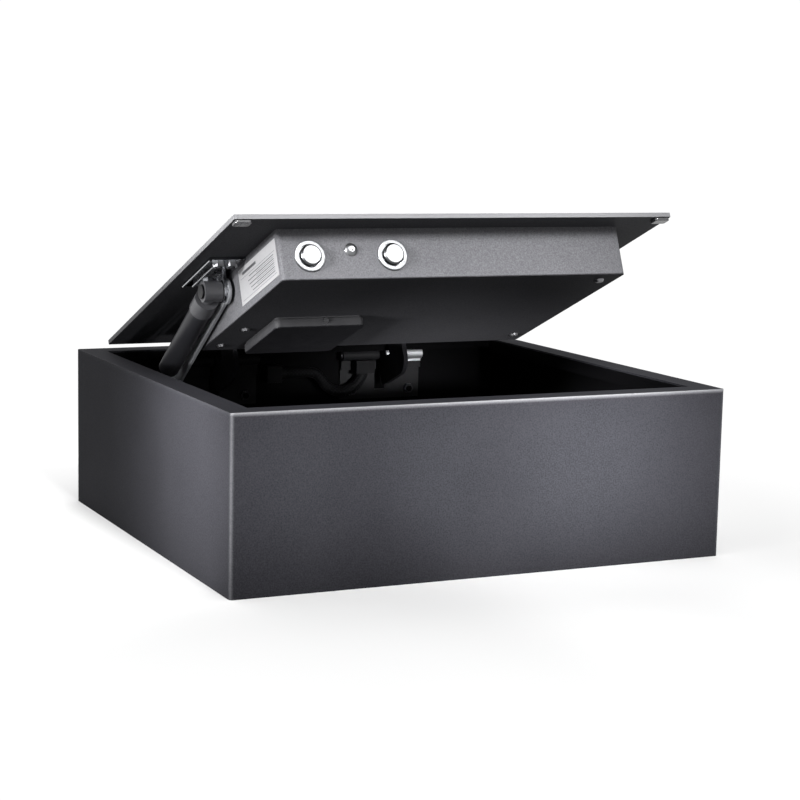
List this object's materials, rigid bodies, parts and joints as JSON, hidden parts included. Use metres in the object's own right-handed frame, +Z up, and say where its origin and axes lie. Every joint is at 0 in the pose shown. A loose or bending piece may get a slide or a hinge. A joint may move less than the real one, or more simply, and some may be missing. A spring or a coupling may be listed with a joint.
{
  "type": "top-opening electronic safe",
  "caption": "Flat steel drawer safe whose inset lid tilts up on a gas strut, with a motorised bolt lock and keypad under and on the lid.",
  "frame": {"origin": "centre of the body's footprint, on the face it stands on", "axes": "+X to the right seen from the front, +Y to the back where the hinges are, +Z up"},
  "size_m": [0.4, 0.37, 0.2612],
  "materials": {
    "body_paint": "fine textured charcoal powder coat",
    "lid_paint": "fine textured charcoal powder coat",
    "housing_paint": "smooth satin grey metallic paint",
    "black_paint": "satin black coat",
    "tube_paint": "semi-gloss black enamel",
    "zinc": "zinc plated steel",
    "stay_steel": "dull plated steel",
    "chrome": "bright chrome plate",
    "felt": "needled felt",
    "black_plastic": "moulded, lightly grained",
    "eye_plastic": "moulded nylon",
    "rubber_lead": "matt sleeve",
    "pad_rubber": "matt grey",
    "label_film": "satin white film, bare",
    "board_green": "solder mask",
    "gear_plastic": "moulded acetal",
    "brass_gear": "machined",
    "battery_sleeve": "plain shrink sleeve",
    "dark_lens": "dark tinted window",
    "key_plastic": "soft matt key"
  },
  "bodies": {
    "body": {"body_shell": "body_paint", "floor_mat": "felt", "strike_plate": "zinc", "hinge_bracket_left": "zinc", "hinge_bracket_right": "zinc", "hinge_pin_left": "zinc", "hinge_pin_right": "zinc", "strut_body_bracket": "black_paint", "strut_stud": "zinc", "bracket_nuts": "chrome", "power_lead": "rubber_lead", "lead_gland": "black_plastic", "junction_block": "black_plastic"},
    "lid": {"lid_plate": "lid_paint", "corner_pads": "pad_rubber", "lock_housing": "housing_paint", "housing_screws": "chrome", "battery_cover": "black_plastic", "battery_cover_screw": "chrome", "battery_holder": "black_plastic", "batteries": "battery_sleeve", "circuit_board": "board_green", "lock_motor": "zinc", "gearbox": "gear_plastic", "bolt_guide": "zinc", "bolt_collar_left": "chrome", "bolt_collar_right": "chrome", "sensor_bezel": "chrome", "sensor_lens": "dark_lens", "blank_label": "label_film", "hinge_arm_left": "black_paint", "hinge_arm_right": "black_paint", "strut_lid_bracket": "chrome", "strut_lid_pin": "zinc", "lid_nuts": "chrome", "keypad_bezel": "black_plastic", "keypad_board": "board_green", "display_window": "dark_lens"},
    "bolts": {"bolt_carriage": "zinc", "lock_bolt_left": "chrome", "lock_bolt_right": "chrome"},
    "pinion": {"drive_pinion": "brass_gear"},
    "strut_tube": {"strut_tube": "tube_paint", "strut_top_eye": "eye_plastic"},
    "strut_rod": {"strut_rod": "chrome", "strut_lower_eye": "eye_plastic"},
    "stay": {"stay_arm": "stay_steel"},
    "key_1": {"key_1": "key_plastic"},
    "key_2": {"key_2": "key_plastic"},
    "key_3": {"key_3": "key_plastic"},
    "key_4": {"key_4": "key_plastic"},
    "key_5": {"key_5": "key_plastic"},
    "key_6": {"key_6": "key_plastic"},
    "key_7": {"key_7": "key_plastic"},
    "key_8": {"key_8": "key_plastic"},
    "key_9": {"key_9": "key_plastic"},
    "key_clear": {"key_clear": "key_plastic"},
    "key_0": {"key_0": "key_plastic"},
    "key_enter": {"key_enter": "key_plastic"}
  },
  "joints": [
    {"name": "lid_hinge", "type": "hinge", "parent": "body", "child": "lid", "pos_m": [0, 0.1775, 0.117], "axis": [1, 0, 0], "range_deg": [0, 22.4], "stiffness_Nm_per_rad": 5, "springref_deg": -148.97},
    {"name": "strut_pivot", "type": "hinge", "parent": "lid", "child": "strut_tube", "pos_m": [-0.156, -0.02269, 0.19681], "axis": [1, 0, 0], "range_deg": [0, 4.2]},
    {"name": "rod_slide", "type": "slide", "parent": "strut_tube", "child": "strut_rod", "axis": [0, -0.8123, 0.5832], "range_m": [0, 0.0185]},
    {"name": "stay_pivot", "type": "hinge", "parent": "lid", "child": "stay", "pos_m": [-0.143, -0.02269, 0.19681], "axis": [1, 0, 0], "range_deg": [0, 4.2]},
    {"name": "bolt_slide", "type": "slide", "parent": "lid", "child": "bolts", "axis": [0, -0.9245, 0.3811], "range_m": [0, 0.028]},
    {"name": "pinion_spin", "type": "hinge", "parent": "lid", "child": "pinion", "pos_m": [-0.07715, -0.05433, 0.20823], "axis": [0, 0.3811, 0.9245], "range_deg": [0, 179]},
    {"name": "key_1_press", "type": "slide", "parent": "lid", "child": "key_1", "axis": [0, -0.3811, -0.9245], "range_m": [0, 0.001], "stiffness_N_per_m": 400, "springref_m": -0.001},
    {"name": "key_2_press", "type": "slide", "parent": "lid", "child": "key_2", "axis": [0, -0.3811, -0.9245], "range_m": [0, 0.001], "stiffness_N_per_m": 400, "springref_m": -0.001},
    {"name": "key_3_press", "type": "slide", "parent": "lid", "child": "key_3", "axis": [0, -0.3811, -0.9245], "range_m": [0, 0.001], "stiffness_N_per_m": 400, "springref_m": -0.001},
    {"name": "key_4_press", "type": "slide", "parent": "lid", "child": "key_4", "axis": [0, -0.3811, -0.9245], "range_m": [0, 0.001], "stiffness_N_per_m": 400, "springref_m": -0.001},
    {"name": "key_5_press", "type": "slide", "parent": "lid", "child": "key_5", "axis": [0, -0.3811, -0.9245], "range_m": [0, 0.001], "stiffness_N_per_m": 400, "springref_m": -0.001},
    {"name": "key_6_press", "type": "slide", "parent": "lid", "child": "key_6", "axis": [0, -0.3811, -0.9245], "range_m": [0, 0.001], "stiffness_N_per_m": 400, "springref_m": -0.001},
    {"name": "key_7_press", "type": "slide", "parent": "lid", "child": "key_7", "axis": [0, -0.3811, -0.9245], "range_m": [0, 0.001], "stiffness_N_per_m": 400, "springref_m": -0.001},
    {"name": "key_8_press", "type": "slide", "parent": "lid", "child": "key_8", "axis": [0, -0.3811, -0.9245], "range_m": [0, 0.001], "stiffness_N_per_m": 400, "springref_m": -0.001},
    {"name": "key_9_press", "type": "slide", "parent": "lid", "child": "key_9", "axis": [0, -0.3811, -0.9245], "range_m": [0, 0.001], "stiffness_N_per_m": 400, "springref_m": -0.001},
    {"name": "key_clear_press", "type": "slide", "parent": "lid", "child": "key_clear", "axis": [0, -0.3811, -0.9245], "range_m": [0, 0.001], "stiffness_N_per_m": 400, "springref_m": -0.001},
    {"name": "key_0_press", "type": "slide", "parent": "lid", "child": "key_0", "axis": [0, -0.3811, -0.9245], "range_m": [0, 0.001], "stiffness_N_per_m": 400, "springref_m": -0.001},
    {"name": "key_enter_press", "type": "slide", "parent": "lid", "child": "key_enter", "axis": [0, -0.3811, -0.9245], "range_m": [0, 0.001], "stiffness_N_per_m": 400, "springref_m": -0.001}
  ],
  "couplings": [
    {"joint": "strut_pivot", "follows": "lid_hinge", "ratio": 0.18068},
    {"joint": "rod_slide", "follows": "lid_hinge", "m_per_rad": 0.046366},
    {"joint": "stay_pivot", "follows": "lid_hinge", "ratio": 0.18068},
    {"joint": "pinion_spin", "follows": "bolt_slide", "rad_per_m": 111.11}
  ]
}
